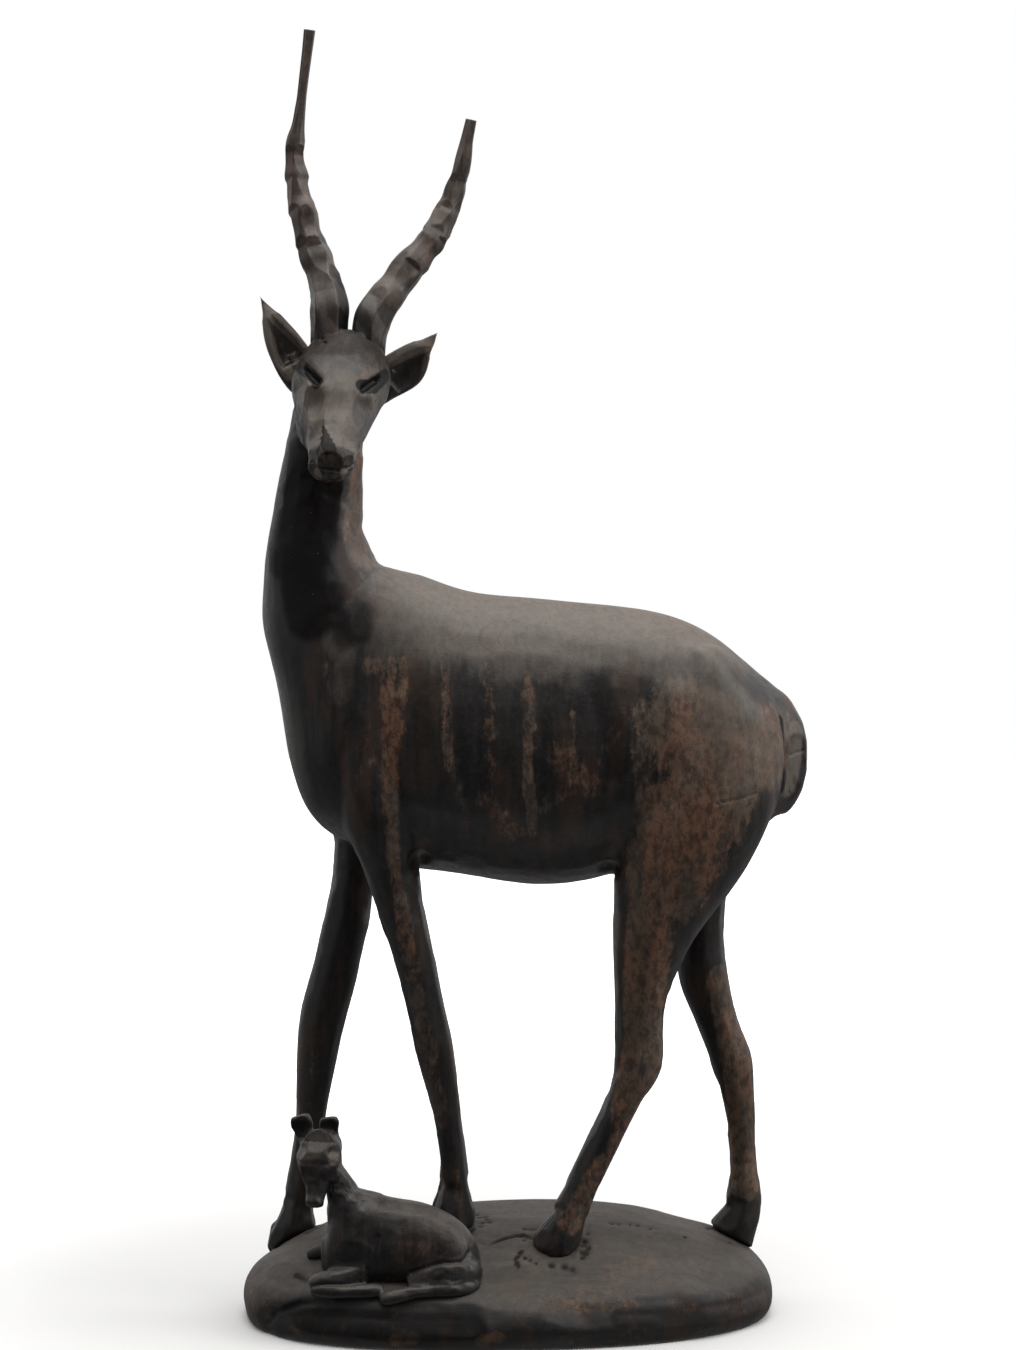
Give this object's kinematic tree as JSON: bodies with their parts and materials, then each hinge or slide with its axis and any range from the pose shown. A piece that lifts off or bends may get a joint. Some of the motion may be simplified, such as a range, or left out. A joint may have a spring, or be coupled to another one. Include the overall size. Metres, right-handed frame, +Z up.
{
  "type": "carved animal statue",
  "caption": "Dark carved hardwood antelope with ringed horns standing over a resting fawn on an oval mound, for display on a shelf or floor.",
  "frame": {"origin": "centre of the mound's flat underside", "axes": "+Z up, the antelope faces -X, its left side and the fawn are towards -Y"},
  "size_m": [0.3241, 0.1499, 0.736],
  "materials": {
    "antelope_wood": "dark stained hardwood, waxed, worn brown on shoulder and rump",
    "mound_wood": "dark stained hardwood, satin, dusty on top",
    "fawn_wood": "dark stained hardwood with knife facets",
    "horn_wood": "dark stained hardwood, knife-cut rings",
    "ear_wood": "dark stained hardwood, gouged hollow",
    "dowel_wood": "plain turned hardwood, unstained"
  },
  "bodies": {
    "root": {"antelope": "antelope_wood", "mound": "mound_wood", "fawn": "fawn_wood", "horn_left": "horn_wood", "horn_right": "horn_wood", "ear_left": "ear_wood", "ear_right": "ear_wood", "hoof_dowel_front_left": "dowel_wood", "hoof_dowel_front_right": "dowel_wood", "hoof_dowel_hind_left": "dowel_wood", "hoof_dowel_hind_right": "dowel_wood", "fawn_dowel_front": "dowel_wood", "fawn_dowel_rear": "dowel_wood"}
  },
  "joints": []
}
